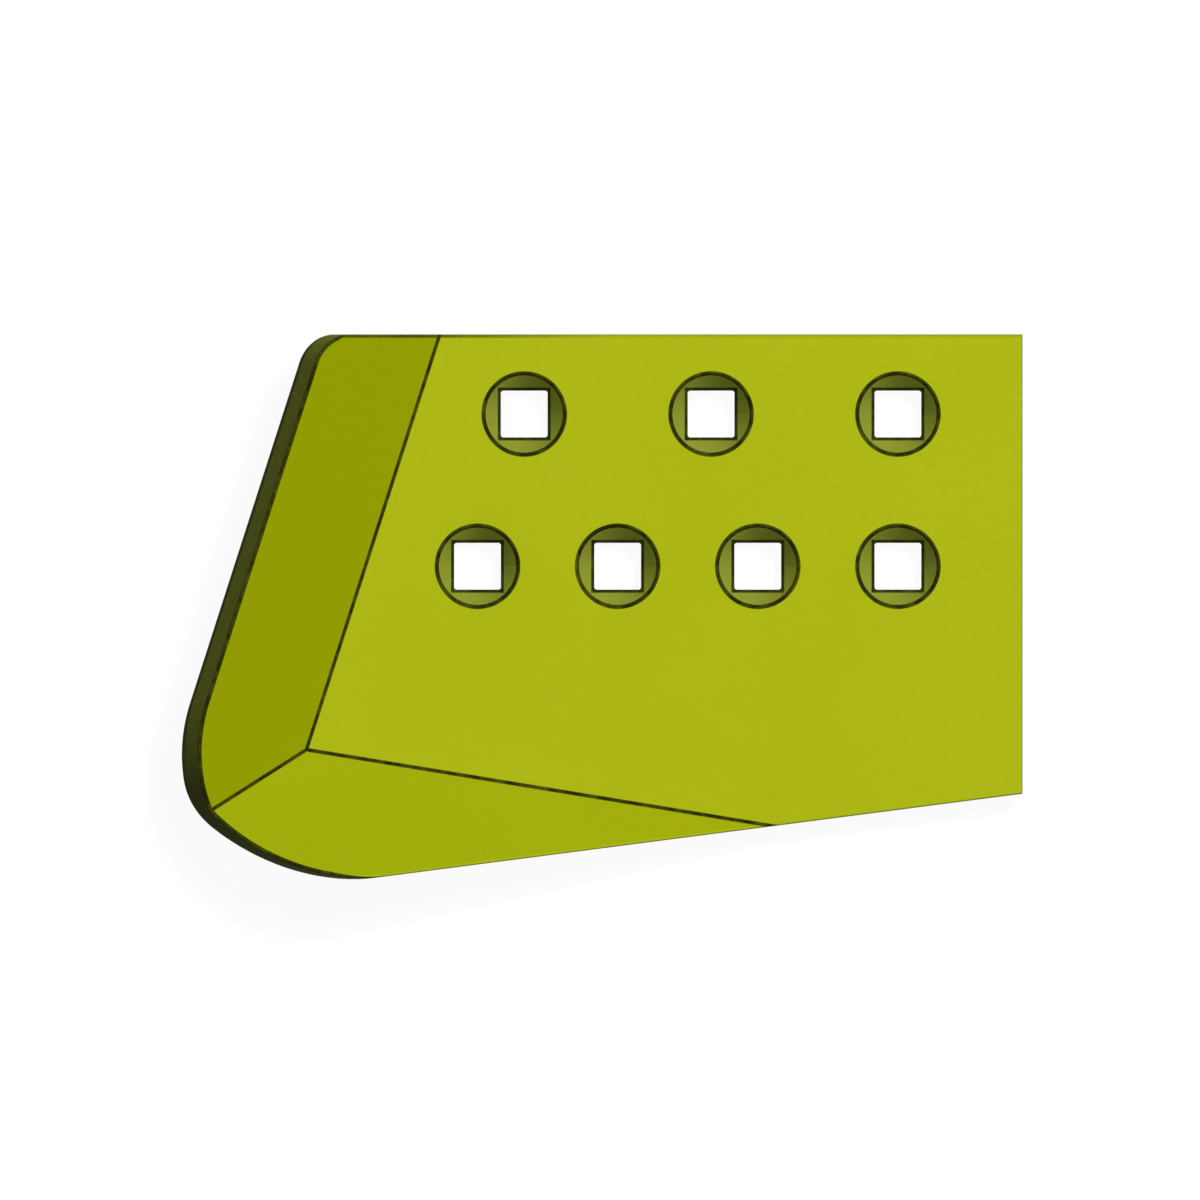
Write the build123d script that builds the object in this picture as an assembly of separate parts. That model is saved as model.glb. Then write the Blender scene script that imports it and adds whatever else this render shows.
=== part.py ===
from build123d import *
from math import cos, radians, sin, tan
import os

# Dozer end bit: one forged steel plate whose outer side and lower corner are turned forward.
# It lies on its flat back. +Z points out of the countersunk front, +Y to the top edge and
# +X to the inner end, which butts against the straight cutting edge of the blade.
# The origin is on the back, on the axis of the upper bolt hole nearest to the inner end.

# Plate
plate_thickness = 19.0
inner_end_height = 265.5
bottom_edge_angle = 7.4

# Folds, on the front face
top_edge_to_fold = 336.8
fold_drop = 240.0
side_fold_lean = 17.8
bottom_fold_angle = 9.3
side_flange_angle = 29.0
bottom_flange_angle = 28.0
bottom_flange_taper = 6.0
back_fold_radius = 40.0

# Outer side
side_flange_width = 72.6
upper_corner_radius = 22.0
lower_corner_radius = 83.0
outline_edge_radius = 1.0

# Bolt holes, for one inch plow bolts
square_width = 27.0
square_corner_radius = 1.5
countersink_diameter = 47.0
countersink_angle = 80.0
upper_row_count = 3
upper_row_pitch = 108.0
lower_row_count = 4
lower_row_pitch = 81.0
row_spacing = 88.0
hole_to_top = 46.0
hole_to_inner_end = 72.0

# Room that cutting shapes need beyond the plate
beyond = 300.0

# How near a point is to a face that it lies on
touching = 0.01

top_y = hole_to_top
inner_x = hole_to_inner_end


def direction(angle):
    """Unit vector in the plane of the plate, counted anticlockwise from +X."""
    return Vector(cos(radians(angle)), sin(radians(angle)), 0)


def rising(outwards, angle):
    """Unit vector that leads outwards and rises forward by the angle."""
    return outwards * cos(radians(angle)) + Vector(0, 0, sin(radians(angle)))


# Directions up the side fold, and outwards from the two folds and the bottom edge
up_the_side = direction(90 - side_fold_lean)
off_the_side = direction(180 - side_fold_lean)
off_the_bottom_fold = direction(-90 - bottom_fold_angle)
off_the_bottom_edge = direction(-90 + bottom_edge_angle)

# Point where the side fold, the bottom fold and the corner fold meet
fold_top = Vector(inner_x - top_edge_to_fold, top_y, plate_thickness)
fold_corner = fold_top - up_the_side * (fold_drop / cos(radians(side_fold_lean)))
bottom_inner_corner = Vector(inner_x, top_y - inner_end_height, 0)


def flange_plane(fold_point, outwards, angle):
    """Face of a flange: it starts at a fold, and its normal points forward."""
    return Plane(origin=fold_point, z_dir=rising(outwards, angle + 90))


def front_planes():
    """Front faces of the plate, the side flange and the bottom flange."""
    side = flange_plane(fold_corner, off_the_side, side_flange_angle)
    bottom = flange_plane(fold_corner, off_the_bottom_fold, bottom_flange_angle)
    return [Plane.XY.offset(plate_thickness), side, bottom]


def back_plane(outwards, angle, taper):
    """Back of a flange: it starts where an even plate folds, and the taper thins it outwards."""
    fold_shift = outwards * tan(radians(angle / 2)) - Vector(0, 0, 1)
    return flange_plane(fold_corner + fold_shift * plate_thickness, outwards, angle + taper)


def back_planes():
    """Backs of the plate, the side flange and the bottom flange."""
    side = back_plane(off_the_side, side_flange_angle, 0)
    bottom = back_plane(off_the_bottom_fold, bottom_flange_angle, bottom_flange_taper)
    return [Plane.XY, side, bottom]


def space_above(planes):
    """Everything in front of all the planes, out to beyond the plate."""
    span = 2 * (top_edge_to_fold + inner_end_height + beyond)
    space = Box(span, span, span)
    for plane in planes:
        space = split(space, bisect_by=plane, keep=Keep.TOP)
    return space


def fold_edges(space):
    """The three edges that start at the point where the folds meet."""
    meeting = space.vertices().sort_by_distance(fold_corner)[0].center()
    return space.edges().sort_by_distance(meeting)[:3]


def dish():
    """The plate with its flanges: sharp folds in front, rounded at the back."""
    behind = space_above(back_planes())
    behind = fillet(fold_edges(behind), back_fold_radius)
    return behind - space_above(front_planes())


def side_wall_plane():
    """The outer side, cut square to the side flange along its front edge."""
    up_the_flange = rising(off_the_side, side_flange_angle)
    return Plane(origin=fold_corner + up_the_flange * side_flange_width, z_dir=up_the_flange)


def outline_block():
    """Tall block with the outline of the plate, its outer side leaning like the wall there."""
    side_cut = side_wall_plane()
    bottom_cut = Plane(origin=bottom_inner_corner, z_dir=off_the_bottom_edge)
    length = top_edge_to_fold + 2 * beyond
    width = inner_end_height + beyond
    block = Pos(inner_x - length / 2, top_y - width / 2) * Box(length, width, beyond)
    block = split(block, bisect_by=bottom_cut, keep=Keep.BOTTOM)
    block = split(block, bisect_by=side_cut, keep=Keep.BOTTOM)
    side_wall = block.faces().sort_by_distance(side_cut.origin)[0]
    lower, upper = side_wall.edges().sort_by(Axis.Z)[1:3].sort_by(Axis.Y)
    block = fillet(upper, upper_corner_radius)
    lower = block.edges().sort_by_distance(lower.center())[0]
    return fillet(lower, lower_corner_radius)


def plate_in_outline():
    """The folded plate inside its outline, with the edges all round it broken."""
    plate = dish()
    block = outline_block()
    body = plate & block
    skins = [Compound(plate.faces()), Compound(block.faces())]
    edges = [edge for edge in body.edges()
             if all(skin.distance_to(edge.center()) < touching for skin in skins)]
    return fillet(edges, outline_edge_radius)


def hole_centres():
    """Both rows start at the inner end, one hole above the other."""
    upper = [(-n * upper_row_pitch, 0) for n in range(upper_row_count)]
    lower = [(-n * lower_row_pitch, -row_spacing) for n in range(lower_row_count)]
    return upper + lower


def plow_bolt_hole():
    """Square hole that keeps the bolt from turning, with a cone for its head."""
    profile = RectangleRounded(square_width, square_width, square_corner_radius)
    square = Pos(0, 0, -plate_thickness / 2) * extrude(profile, amount=2 * plate_thickness)
    slope = tan(radians(countersink_angle / 2))
    mouth = countersink_diameter / 2
    tip = square_width / 3
    depth = (mouth - tip) / slope
    cone = Pos(0, 0, plate_thickness - depth / 2) * Cone(tip, mouth, depth)
    return square + cone


def end_bit():
    """The whole part: the folded plate with its bolt holes."""
    body = plate_in_outline()
    for x, y in hole_centres():
        body = body - Pos(x, y, 0) * plow_bolt_hole()
    return body


os.makedirs("parts", exist_ok=True)
export_step(end_bit(), "parts/end_bit.step")
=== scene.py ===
import math

import bpy
from mathutils import Matrix, Vector

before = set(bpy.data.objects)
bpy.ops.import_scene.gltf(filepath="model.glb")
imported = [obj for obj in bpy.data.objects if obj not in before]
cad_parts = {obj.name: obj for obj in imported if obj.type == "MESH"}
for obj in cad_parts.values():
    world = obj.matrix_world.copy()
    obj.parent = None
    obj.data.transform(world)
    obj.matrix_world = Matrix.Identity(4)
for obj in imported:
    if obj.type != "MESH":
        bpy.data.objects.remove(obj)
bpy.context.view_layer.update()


# The end bit is one forged steel plate, 19 mm thick, with its outer side and lower corner turned
# forward. It was cut to its outline, punched and countersunk, shot blasted and sprayed with one
# coat of lime enamel. It lies on its flat back, and its front looks up.

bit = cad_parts["end_bit"]

# Sizes in millimetres, from the axis of the upper bolt hole nearest to the inner end
plate_thickness = 19.0
hole_to_top = 46.0
hole_to_inner_end = 72.0
inner_end_height = 265.5
top_edge_to_fold = 336.8
fold_drop = 240.0
side_flange_width = 72.6
upper_corner_radius = 22.0
lower_corner_radius = 83.0
countersink_radius = 23.5
square_half_width = 13.5
upper_row_pitch = 108.0
lower_row_pitch = 81.0
row_spacing = 88.0

side_fold_lean = math.radians(17.8)
bottom_fold_angle = math.radians(9.3)
bottom_edge_angle = math.radians(7.4)
side_flange_angle = math.radians(29)
bottom_flange_angle = math.radians(28)
countersink_half_angle = math.radians(40)

# Directions outwards from the two folds and from the edges of the outline
off_the_side = Vector((-math.cos(side_fold_lean), math.sin(side_fold_lean), 0))
off_the_bottom_fold = Vector((-math.sin(bottom_fold_angle), -math.cos(bottom_fold_angle), 0))
off_the_bottom_edge = Vector((math.sin(bottom_edge_angle), -math.cos(bottom_edge_angle), 0))
off_the_top_edge = Vector((0, 1, 0))

# Points where the folds meet, where the inner end meets the bottom edge, and on the top edge
fold_corner = Vector((
    hole_to_inner_end - top_edge_to_fold - fold_drop * math.tan(side_fold_lean),
    hole_to_top - fold_drop, plate_thickness))
bottom_inner_corner = Vector((hole_to_inner_end, hole_to_top - inner_end_height, 0))
on_top_edge = Vector((0, hole_to_top, 0))


def linear(hex_colour):
    """Linear colour of an sRGB hex value."""
    channels = [int(hex_colour[i:i + 2], 16) / 255 for i in (1, 3, 5)]
    return [c / 12.92 if c <= 0.04045 else ((c + 0.055) / 1.055) ** 2.4 for c in channels] + [1.0]


def add_node(tree, kind, settings, inputs):
    """Adds a node, sets its properties, and sets or links its inputs."""
    node = tree.nodes.new(kind)
    for name, value in settings.items():
        setattr(node, name, value)
    for name, value in inputs.items():
        if isinstance(value, bpy.types.NodeSocket):
            tree.links.new(value, node.inputs[name])
        else:
            node.inputs[name].default_value = value
    return node


# Sprayed lime enamel over shot-blasted forged steel. The enamel gives a satin lime green with a
# faint orange peel. Shade is painted into its colour: full on the flat face, darker on the faces
# that turn away from it. The cut walls keep fine marks that run through the plate, and are painted
# darkest, as shade.
enamel = bpy.data.materials.new("sprayed_enamel_over_forged_steel")
enamel.use_nodes = True
tree = enamel.node_tree
tree.nodes.clear()
smooth = {"interpolation_type": "SMOOTHSTEP"}

# Place of each point in millimetres, and the way its face looks
place = add_node(tree, "ShaderNodeTexCoord", {}, {})
in_mm = add_node(tree, "ShaderNodeMapping", {}, {
    "Vector": place.outputs["Object"], "Scale": (1000, 1000, 1000)})
point = in_mm.outputs["Vector"]
where = add_node(tree, "ShaderNodeSeparateXYZ", {}, {"Vector": point})
facing = add_node(tree, "ShaderNodeSeparateXYZ", {}, {"Vector": place.outputs["Normal"]})
level = add_node(tree, "ShaderNodeMath", {"operation": "ABSOLUTE"}, {0: facing.outputs["Z"]})

# Patterns in millimetres: clouds of a hand's width, where the spray gun passed more or less often,
# lumps of forged and blasted steel, the orange peel of the enamel, and marks that cutting left
# through the walls. The peel is drawn a little coarser than the real one, so that it shows.
cloud_size = 85
lump_spacing = 7
peel_spacing = 2
cut_spacing = 1.5
cut_squeeze = 0.06
clouds = add_node(tree, "ShaderNodeTexNoise", {}, {
    "Vector": point, "Scale": 1 / cloud_size, "Detail": 3.0, "Roughness": 0.55})
lumps = add_node(tree, "ShaderNodeTexNoise", {}, {
    "Vector": point, "Scale": 1 / lump_spacing, "Detail": 4.0, "Roughness": 0.6})
peel = add_node(tree, "ShaderNodeTexNoise", {}, {
    "Vector": point, "Scale": 1 / peel_spacing, "Detail": 1.0, "Roughness": 0.5})
through = add_node(tree, "ShaderNodeMapping", {}, {"Vector": point, "Scale": (1.0, 1.0, cut_squeeze)})
cuts = add_node(tree, "ShaderNodeTexNoise", {}, {
    "Vector": through.outputs["Vector"], "Scale": 1 / cut_spacing, "Detail": 2.0, "Roughness": 0.6})

# How level a face is, from 1 for the flat face to 0 for an upright wall, where one painted shade
# gives way to the next: first to the flanges, then to the countersinks, then to the cut walls
level_to_turned = (0.99, 0.9)
turned_to_sloping = (0.8, 0.7)
sloping_to_wall = (0.6, 0.5)
turned, sloping, wall = [
    add_node(tree, "ShaderNodeMapRange", smooth, {
        "Value": level.outputs[0], "From Min": start, "From Max": end})
    for start, end in (level_to_turned, turned_to_sloping, sloping_to_wall)]

# Shade painted by facing, for a light from above the top edge. The bottom flange, which looks up
# towards it, is painted less dark than the side flange, and the walls that look down the picture
# are painted darkest. How far a face looks up is the Y of its normal.
bottom_flange_facing = 0.46
bottom_flange_shade_share = 0.72
wall_unshaded_facing = 0.22
wall_shaded_facing = -0.35
darkest_wall_shade_share = 0.85
full_coat = add_node(tree, "ShaderNodeMix", {"data_type": "RGBA"}, {
    "Factor": clouds.outputs["Fac"], "A": linear("#ADBA0E"), "B": linear("#B6BF1C")})
flange_shade_by_facing = add_node(tree, "ShaderNodeMapRange", {}, {
    "Value": facing.outputs["Y"], "From Min": 0.0, "From Max": bottom_flange_facing,
    "To Min": 1.0, "To Max": bottom_flange_shade_share})
flange_shade_share = add_node(tree, "ShaderNodeMath", {"operation": "MULTIPLY"}, {
    0: turned.outputs["Result"], 1: flange_shade_by_facing.outputs["Result"]})
# The flanges are painted darker, as shade, less so where they look up
coat_with_flange_shade = add_node(tree, "ShaderNodeMix", {"data_type": "RGBA"}, {
    "Factor": flange_shade_share.outputs[0], "A": full_coat.outputs["Result"], "B": linear("#96A103")})
# The countersinks are painted darker and greyer, as shade
coat_with_cone_shade = add_node(tree, "ShaderNodeMix", {"data_type": "RGBA"}, {
    "Factor": sloping.outputs["Result"], "A": coat_with_flange_shade.outputs["Result"], "B": linear("#8F9930")})
# Cut walls: two tones of cut marks, painted dark as shade, and darkest where they look down
wall_marks_with_shade = add_node(tree, "ShaderNodeMix", {"data_type": "RGBA"}, {
    "Factor": cuts.outputs["Fac"], "A": linear("#52571C"), "B": linear("#7A802E")})
wall_shade_facing_down = add_node(tree, "ShaderNodeMapRange", smooth, {
    "Value": facing.outputs["Y"], "From Min": wall_unshaded_facing, "From Max": wall_shaded_facing,
    "To Max": darkest_wall_shade_share})
shaded_wall_coat = add_node(tree, "ShaderNodeMix", {"data_type": "RGBA"}, {
    "Factor": wall_shade_facing_down.outputs["Result"], "A": wall_marks_with_shade.outputs["Result"],
    "B": linear("#1E210A")})
# The flat face, flanges, countersinks and walls, each with its painted shade
coat = add_node(tree, "ShaderNodeMix", {"data_type": "RGBA"}, {
    "Factor": wall.outputs["Result"], "A": coat_with_cone_shade.outputs["Result"],
    "B": shaded_wall_coat.outputs["Result"]})

# Two flanges rise from the flat face, and the front is the highest of the three. Where the next
# one comes as high is a fold, along which a dark line of shade is painted. The two flanges part
# faster than a flange and the flat face, and corner_fold_share makes their line as wide. A point
# is on the front if it is near enough to that height, so the broken edges belong to it too.
fold_line_solid = 0.45
fold_line_end = 0.72
on_front_within = 1.4
side_slope = off_the_side * math.tan(side_flange_angle)
bottom_slope = off_the_bottom_fold * math.tan(bottom_flange_angle)
mean_slope = (side_slope.length + bottom_slope.length) / 2
corner_fold_share = mean_slope / (side_slope - bottom_slope).length
from_corner = add_node(tree, "ShaderNodeVectorMath", {"operation": "SUBTRACT"}, {
    0: point, 1: fold_corner})
side_rise = add_node(tree, "ShaderNodeVectorMath", {"operation": "DOT_PRODUCT"}, {
    0: from_corner.outputs["Vector"], 1: side_slope})
bottom_rise = add_node(tree, "ShaderNodeVectorMath", {"operation": "DOT_PRODUCT"}, {
    0: from_corner.outputs["Vector"], 1: bottom_slope})
higher = add_node(tree, "ShaderNodeMath", {"operation": "MAXIMUM"}, {
    0: side_rise.outputs["Value"], 1: bottom_rise.outputs["Value"]})
lower = add_node(tree, "ShaderNodeMath", {"operation": "MINIMUM"}, {
    0: side_rise.outputs["Value"], 1: bottom_rise.outputs["Value"]})
front_rise = add_node(tree, "ShaderNodeMath", {"operation": "MAXIMUM"}, {0: higher.outputs[0], 1: 0.0})
under_level = add_node(tree, "ShaderNodeMath", {"operation": "MINIMUM"}, {0: higher.outputs[0], 1: 0.0})
next_rise = add_node(tree, "ShaderNodeMath", {"operation": "MAXIMUM"}, {
    0: lower.outputs[0], 1: under_level.outputs[0]})
apart = add_node(tree, "ShaderNodeMath", {"operation": "SUBTRACT"}, {
    0: front_rise.outputs[0], 1: next_rise.outputs[0]})
between_flanges = add_node(tree, "ShaderNodeMath", {"operation": "GREATER_THAN"}, {
    0: lower.outputs[0], 1: 0.0})
fold_share = add_node(tree, "ShaderNodeMapRange", {}, {
    "Value": between_flanges.outputs[0], "To Min": 1.0, "To Max": corner_fold_share})
evenly_apart = add_node(tree, "ShaderNodeMath", {"operation": "MULTIPLY"}, {
    0: apart.outputs[0], 1: fold_share.outputs["Result"]})
fold_shade_line = add_node(tree, "ShaderNodeMapRange", smooth, {
    "Value": evenly_apart.outputs[0], "From Min": fold_line_end, "From Max": fold_line_solid})
front_height = add_node(tree, "ShaderNodeMath", {"operation": "ADD"}, {
    0: front_rise.outputs[0], 1: plate_thickness})
on_front = add_node(tree, "ShaderNodeMath", {"operation": "COMPARE"}, {
    0: where.outputs["Z"], 1: front_height.outputs[0], 2: on_front_within})

# Place of each point from the nearest bolt hole. The holes are counted from the inner end, from 0,
# and the last is number 2 in the upper row and number 3 in the lower one.
last_upper_hole = 2.0
lower_row = add_node(tree, "ShaderNodeMath", {"operation": "LESS_THAN"}, {
    0: where.outputs["Y"], 1: -row_spacing / 2})
pitch = add_node(tree, "ShaderNodeMath", {"operation": "MULTIPLY_ADD"}, {
    0: lower_row.outputs[0], 1: lower_row_pitch - upper_row_pitch, 2: upper_row_pitch})
last_hole = add_node(tree, "ShaderNodeMath", {"operation": "ADD"}, {
    0: lower_row.outputs[0], 1: last_upper_hole})
steps = add_node(tree, "ShaderNodeMath", {"operation": "DIVIDE"}, {
    0: where.outputs["X"], 1: pitch.outputs[0]})
outwards = add_node(tree, "ShaderNodeMath", {"operation": "MULTIPLY"}, {0: steps.outputs[0], 1: -1.0})
nearest = add_node(tree, "ShaderNodeMath", {"operation": "ROUND"}, {0: outwards.outputs[0]})
not_past_last = add_node(tree, "ShaderNodeMath", {"operation": "MINIMUM"}, {
    0: nearest.outputs[0], 1: last_hole.outputs[0]})
hole_number = add_node(tree, "ShaderNodeMath", {"operation": "MAXIMUM"}, {
    0: not_past_last.outputs[0], 1: 0.0})
along = add_node(tree, "ShaderNodeMath", {"operation": "MULTIPLY_ADD"}, {
    0: hole_number.outputs[0], 1: pitch.outputs[0], 2: where.outputs["X"]})
across = add_node(tree, "ShaderNodeMath", {"operation": "MULTIPLY_ADD"}, {
    0: lower_row.outputs[0], 1: row_spacing, 2: where.outputs["Y"]})
from_hole = add_node(tree, "ShaderNodeCombineXYZ", {}, {"X": along.outputs[0], "Y": across.outputs[0]})

# A dark line is painted around the rim of each countersink, and along the edge of the square where
# it starts in the cone. A line is solid up to one distance from the edge, and ends at the other.
line_solid = 1.0
line_end = 1.5
square_line_solid = 1.5
square_line_end = 2.1
on_cone_within = 1.0
hole_distance = add_node(tree, "ShaderNodeVectorMath", {"operation": "LENGTH"}, {
    0: from_hole.outputs["Vector"]})
from_rim = add_node(tree, "ShaderNodeMath", {"operation": "SUBTRACT"}, {
    0: hole_distance.outputs["Value"], 1: countersink_radius})
rim_distance = add_node(tree, "ShaderNodeMath", {"operation": "ABSOLUTE"}, {0: from_rim.outputs[0]})
rim_line = add_node(tree, "ShaderNodeMapRange", smooth, {
    "Value": rim_distance.outputs[0], "From Min": line_end, "From Max": line_solid})
cone_height = add_node(tree, "ShaderNodeMath", {"operation": "MULTIPLY_ADD"}, {
    0: from_rim.outputs[0], 1: 1 / math.tan(countersink_half_angle), 2: plate_thickness})
on_cone = add_node(tree, "ShaderNodeMath", {"operation": "COMPARE"}, {
    0: where.outputs["Z"], 1: cone_height.outputs[0], 2: on_cone_within})
beside_hole = add_node(tree, "ShaderNodeVectorMath", {"operation": "ABSOLUTE"}, {
    0: from_hole.outputs["Vector"]})
beside = add_node(tree, "ShaderNodeSeparateXYZ", {}, {"Vector": beside_hole.outputs["Vector"]})
from_middle = add_node(tree, "ShaderNodeMath", {"operation": "MAXIMUM"}, {
    0: beside.outputs["X"], 1: beside.outputs["Y"]})
near_square = add_node(tree, "ShaderNodeMapRange", smooth, {
    "Value": from_middle.outputs[0], "From Min": square_half_width + square_line_end,
    "From Max": square_half_width + square_line_solid})
square_line = add_node(tree, "ShaderNodeMath", {"operation": "MULTIPLY"}, {
    0: near_square.outputs["Result"], 1: on_cone.outputs[0]})

# How far each point is out past the cut outer side, which stands square on the side flange. The
# outer side runs into a round corner at both ends, and there the distance is from that corner.
# A dark line is painted along its front edge. It slides out over the edge towards a corner's end,
# and so narrows.
line_slide = 2.2
slide_share = 1 / 3
side_line_inset = 0.8
out_of_the_side = off_the_side * math.cos(side_flange_angle) + Vector((0, 0, math.sin(side_flange_angle)))
on_outer_side = fold_corner + out_of_the_side * side_flange_width
from_outer_side = add_node(tree, "ShaderNodeVectorMath", {"operation": "SUBTRACT"}, {
    0: point, 1: on_outer_side})
past_side = add_node(tree, "ShaderNodeVectorMath", {"operation": "DOT_PRODUCT"}, {
    0: from_outer_side.outputs["Vector"], 1: out_of_the_side})
past_outline = past_side.outputs["Value"]
for out_of_the_end, on_end, radius in (
        (off_the_bottom_edge, bottom_inner_corner, lower_corner_radius),
        (off_the_top_edge, on_top_edge, upper_corner_radius)):
    # The middle of the corner lies one radius inside both faces, and the corner is round about an
    # axis that runs along both
    axis = out_of_the_side.cross(out_of_the_end).normalized()
    reaches = Vector((
        out_of_the_side.dot(on_outer_side) - radius, out_of_the_end.dot(on_end) - radius, 0))
    centre = Matrix((out_of_the_side, out_of_the_end, axis)).inverted() @ reaches
    lean = out_of_the_end.dot(out_of_the_side)
    along_side = (out_of_the_end - out_of_the_side * lean).normalized()
    along_end = (out_of_the_side - out_of_the_end * lean).normalized()
    from_centre = add_node(tree, "ShaderNodeVectorMath", {"operation": "SUBTRACT"}, {
        0: point, 1: centre})
    square_to_axis = add_node(tree, "ShaderNodeVectorMath", {"operation": "CROSS_PRODUCT"}, {
        0: from_centre.outputs["Vector"], 1: axis})
    from_axis = add_node(tree, "ShaderNodeVectorMath", {"operation": "LENGTH"}, {
        0: square_to_axis.outputs["Vector"]})
    past_corner = add_node(tree, "ShaderNodeMath", {"operation": "SUBTRACT"}, {
        0: from_axis.outputs["Value"], 1: radius})
    past_side_end = add_node(tree, "ShaderNodeVectorMath", {"operation": "DOT_PRODUCT"}, {
        0: from_centre.outputs["Vector"], 1: along_side})
    before_corner_end = add_node(tree, "ShaderNodeVectorMath", {"operation": "DOT_PRODUCT"}, {
        0: from_centre.outputs["Vector"], 1: along_end})
    slide = add_node(tree, "ShaderNodeMapRange", {}, {
        "Value": before_corner_end.outputs["Value"], "From Max": radius * slide_share,
        "To Min": -line_slide, "To Max": 0.0})
    slid_past_corner = add_node(tree, "ShaderNodeMath", {"operation": "ADD"}, {
        0: past_corner.outputs[0], 1: slide.outputs["Result"]})
    least = add_node(tree, "ShaderNodeMath", {"operation": "MINIMUM"}, {
        0: past_side_end.outputs["Value"], 1: before_corner_end.outputs["Value"]})
    in_corner = add_node(tree, "ShaderNodeMath", {"operation": "GREATER_THAN"}, {
        0: least.outputs[0], 1: 0.0})
    side_or_corner = add_node(tree, "ShaderNodeMix", {"data_type": "FLOAT"}, {
        "Factor": in_corner.outputs[0], "A": past_outline, "B": slid_past_corner.outputs[0]})
    past_outline = side_or_corner.outputs["Result"]
from_side_line = add_node(tree, "ShaderNodeMath", {"operation": "ADD"}, {
    0: past_outline, 1: side_line_inset})
side_line_distance = add_node(tree, "ShaderNodeMath", {"operation": "ABSOLUTE"}, {
    0: from_side_line.outputs[0]})
side_line = add_node(tree, "ShaderNodeMapRange", smooth, {
    "Value": side_line_distance.outputs[0], "From Min": line_end, "From Max": line_solid})

# A dark line is painted along the back edge of the outer side too, which starts this far straight
# below the front. It fades where a corner turns away from the side, which the X of the face's
# normal shows.
back_line_start = 16.7
back_line_solid = 17.7
back_line_strength = 0.95
turned_away = -0.15
turned_outwards = -0.6
below_front = add_node(tree, "ShaderNodeMath", {"operation": "SUBTRACT"}, {
    0: front_height.outputs[0], 1: where.outputs["Z"]})
near_back = add_node(tree, "ShaderNodeMapRange", smooth, {
    "Value": below_front.outputs[0], "From Min": back_line_start, "From Max": back_line_solid,
    "To Max": back_line_strength})
outward_face = add_node(tree, "ShaderNodeMapRange", smooth, {
    "Value": facing.outputs["X"], "From Min": turned_away, "From Max": turned_outwards})
outer_back = add_node(tree, "ShaderNodeMath", {"operation": "MULTIPLY"}, {
    0: near_back.outputs["Result"], 1: outward_face.outputs["Result"]})
back_line = add_node(tree, "ShaderNodeMath", {"operation": "MULTIPLY"}, {
    0: outer_back.outputs[0], 1: wall.outputs["Result"]})

# The dark line painted along the top edge is full on the side flange and fades past the side fold
top_line_start = hole_to_top - 2.2
top_line_solid = hole_to_top - 1.7
full_up_to = -275.0
faded_from = -170.0
top_line_strength = 0.85
faded_strength = 0.15
near_top = add_node(tree, "ShaderNodeMapRange", smooth, {
    "Value": where.outputs["Y"], "From Min": top_line_start, "From Max": top_line_solid})
fading = add_node(tree, "ShaderNodeMapRange", {}, {
    "Value": where.outputs["X"], "From Min": full_up_to, "From Max": faded_from,
    "To Min": top_line_strength, "To Max": faded_strength})
top_line = add_node(tree, "ShaderNodeMath", {"operation": "MULTIPLY"}, {
    0: near_top.outputs["Result"], 1: fading.outputs["Result"]})

# All painted dark lines together, the shade in the folds among them, broken a little by the lumps
weakest_line = 0.84
fold_or_rim = add_node(tree, "ShaderNodeMath", {"operation": "MAXIMUM"}, {
    0: fold_shade_line.outputs["Result"], 1: rim_line.outputs["Result"]})
side_or_top = add_node(tree, "ShaderNodeMath", {"operation": "MAXIMUM"}, {
    0: side_line.outputs["Result"], 1: top_line.outputs[0]})
front_line = add_node(tree, "ShaderNodeMath", {"operation": "MAXIMUM"}, {
    0: fold_or_rim.outputs[0], 1: side_or_top.outputs[0]})
line_on_front = add_node(tree, "ShaderNodeMath", {"operation": "MULTIPLY"}, {
    0: front_line.outputs[0], 1: on_front.outputs[0]})
front_or_square = add_node(tree, "ShaderNodeMath", {"operation": "MAXIMUM"}, {
    0: line_on_front.outputs[0], 1: square_line.outputs[0]})
any_line = add_node(tree, "ShaderNodeMath", {"operation": "MAXIMUM"}, {
    0: front_or_square.outputs[0], 1: back_line.outputs[0]})
unevenness = add_node(tree, "ShaderNodeMapRange", {}, {
    "Value": lumps.outputs["Fac"], "From Min": 0.3, "From Max": 0.6, "To Min": weakest_line})
line = add_node(tree, "ShaderNodeMath", {"operation": "MULTIPLY"}, {
    0: any_line.outputs[0], 1: unevenness.outputs["Result"]})
paint = add_node(tree, "ShaderNodeMix", {"data_type": "RGBA"}, {
    "Factor": line.outputs[0], "A": coat.outputs["Result"], "B": linear("#1A1D08")})

# Relief of 0.2 mm: lumps and a little orange peel everywhere, and cut marks on the walls. The
# enamel is satin on the faces, and dull on the cut walls and in the lines.
relief_height = 0.0002
peel_share = 0.03
satin = (0.38, 0.46)
dull = 0.85
wall_cuts = add_node(tree, "ShaderNodeMath", {"operation": "MULTIPLY"}, {
    0: cuts.outputs["Fac"], 1: wall.outputs["Result"]})
peeled = add_node(tree, "ShaderNodeMath", {"operation": "MULTIPLY_ADD"}, {
    0: peel.outputs["Fac"], 1: peel_share, 2: lumps.outputs["Fac"]})
relief = add_node(tree, "ShaderNodeMath", {"operation": "ADD"}, {
    0: peeled.outputs[0], 1: wall_cuts.outputs[0]})
bump = add_node(tree, "ShaderNodeBump", {}, {
    "Strength": 1.0, "Distance": relief_height, "Height": relief.outputs[0]})
satin_finish = add_node(tree, "ShaderNodeMapRange", {}, {
    "Value": lumps.outputs["Fac"], "From Min": 0.3, "From Max": 0.7,
    "To Min": satin[0], "To Max": satin[1]})
wall_or_line = add_node(tree, "ShaderNodeMath", {"operation": "MAXIMUM"}, {
    0: wall.outputs["Result"], 1: line.outputs[0]})
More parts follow.
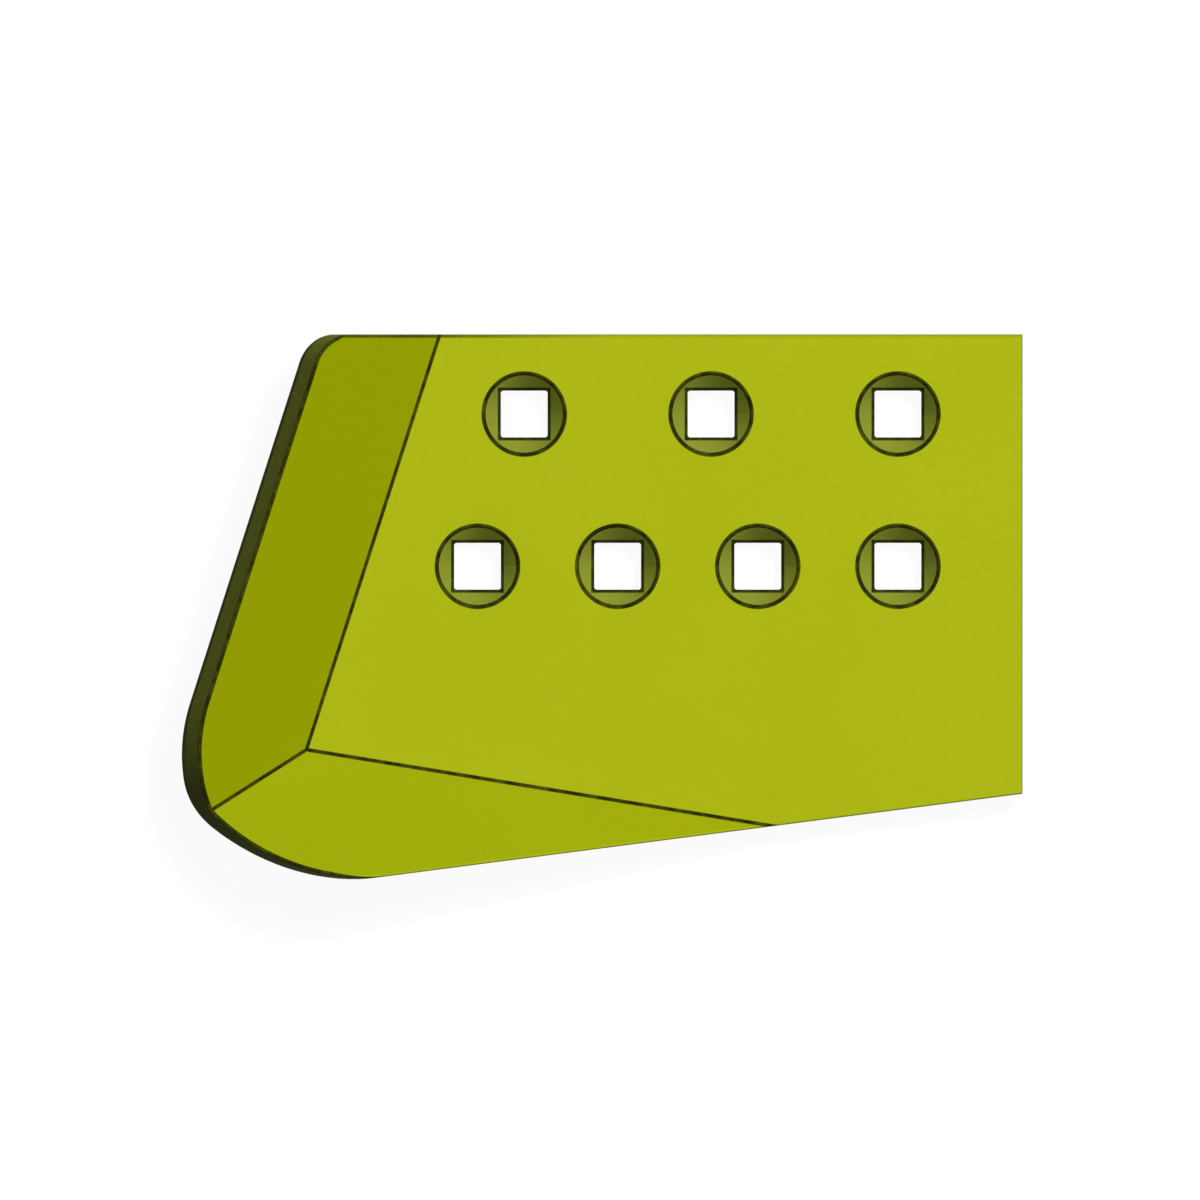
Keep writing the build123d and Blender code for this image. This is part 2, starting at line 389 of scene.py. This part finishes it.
finish = add_node(tree, "ShaderNodeMix", {"data_type": "FLOAT"}, {
    "Factor": wall_or_line.outputs[0], "A": satin_finish.outputs["Result"], "B": dull})
shader = add_node(tree, "ShaderNodeBsdfPrincipled", {}, {
    "Base Color": paint.outputs["Result"], "Roughness": finish.outputs["Result"], "IOR": 1.5,
    "Specular IOR Level": 0.2, "Specular Tint": linear("#F6FF48"), "Normal": bump.outputs["Normal"]})
add_node(tree, "ShaderNodeOutputMaterial", {}, {"Surface": shader.outputs["BSDF"]})
bit.data.materials.clear()
bit.data.materials.append(enamel)


# The studio: a plain pale floor that the end bit lies on, a lamp above to the right, a soft lamp
# round the camera, and a camera that looks straight down on the front.

# Sizes in metres. The floor lies a little below the flat back. The picture has the photo's width
# and the same point in its middle.
floor_height = -0.0004
floor_reach = 4
photo_pixels = 1200
metres_per_pixel = 0.000578
photo_width = photo_pixels * metres_per_pixel
photo_centre = Vector((-0.1722, -0.1075, 0))
camera_height = 1.2

floor_mesh = bpy.data.meshes.new("floor")
floor_corners = [
    (x * floor_reach, y * floor_reach, floor_height) for x, y in ((-1, -1), (1, -1), (1, 1), (-1, 1))]
floor_mesh.from_pydata(floor_corners, [], [(0, 1, 2, 3)])
floor = bpy.data.objects.new("floor", floor_mesh)
bpy.context.scene.collection.objects.link(floor)


def seen_directly(tree):
    """1 for what the camera sees, also in a reflection or through glass, and 0 for other light."""
    path = add_node(tree, "ShaderNodeLightPath", {}, {})
    seen = path.outputs["Is Camera Ray"]
    for ray in ("Is Glossy Ray", "Is Transmission Ray"):
        either = add_node(tree, "ShaderNodeMath", {"operation": "MAXIMUM"}, {0: seen, 1: path.outputs[ray]})
        seen = either.outputs[0]
    return seen


# Pale card. The camera sees it nearly white, with the shadow of the end bit on it, and it throws
# as little light back on the end bit as grey card does.
card_glow = 0.94
card = bpy.data.materials.new("pale_floor_card")
card.use_nodes = True
tree = card.node_tree
tree.nodes.clear()
grey = add_node(tree, "ShaderNodeBsdfDiffuse", {}, {"Color": linear("#7C7C7C")})
shaded = add_node(tree, "ShaderNodeBsdfDiffuse", {}, {"Color": linear("#505050")})
white = add_node(tree, "ShaderNodeEmission", {}, {
    "Color": linear("#FFFFFF"), "Strength": card_glow})
pale = add_node(tree, "ShaderNodeAddShader", {}, {0: shaded.outputs[0], 1: white.outputs[0]})
grey_or_pale = add_node(tree, "ShaderNodeMixShader", {}, {
    0: seen_directly(tree), 1: grey.outputs[0], 2: pale.outputs[0]})
add_node(tree, "ShaderNodeOutputMaterial", {}, {"Surface": grey_or_pale.outputs[0]})
floor.data.materials.append(card)

# Air that the camera sees white, and that gives a weak even light
weak_light = 0.08
world = bpy.data.worlds.new("studio_air")
bpy.context.scene.world = world
world.use_nodes = True
tree = world.node_tree
tree.nodes.clear()
strength = add_node(tree, "ShaderNodeMapRange", {}, {
    "Value": seen_directly(tree), "To Min": weak_light, "To Max": 1.0})
air = add_node(tree, "ShaderNodeBackground", {}, {
    "Color": linear("#FFFFFF"), "Strength": strength.outputs[0]})
add_node(tree, "ShaderNodeOutputWorld", {}, {"Surface": air.outputs[0]})


def add_lamp(name, towards, distance, diameter, power):
    """A round soft lamp that shines at the middle of the picture from that direction."""
    data = bpy.data.lights.new(name, "AREA")
    data.shape = "DISK"
    data.size = diameter
    data.energy = power
    lamp = bpy.data.objects.new(name, data)
    bpy.context.scene.collection.objects.link(lamp)
    lamp.location = photo_centre + Vector(towards).normalized() * distance
    lamp.rotation_euler = Vector(towards).to_track_quat("Z", "Y").to_euler()
    lamp.visible_camera = False


add_lamp("key_lamp", towards=(0.33, 0.38, 0.65), distance=9, diameter=2.5, power=683)
add_lamp("lamp_round_the_camera", towards=(0, 0, 1), distance=5, diameter=1.0, power=30)

camera = bpy.data.objects.new("camera", bpy.data.cameras.new("camera"))
camera.data.type = "ORTHO"
camera.data.ortho_scale = photo_width
camera.location = photo_centre + Vector((0, 0, camera_height))
bpy.context.scene.collection.objects.link(camera)
bpy.context.scene.camera = camera
bpy.context.scene.view_settings.view_transform = "Standard"
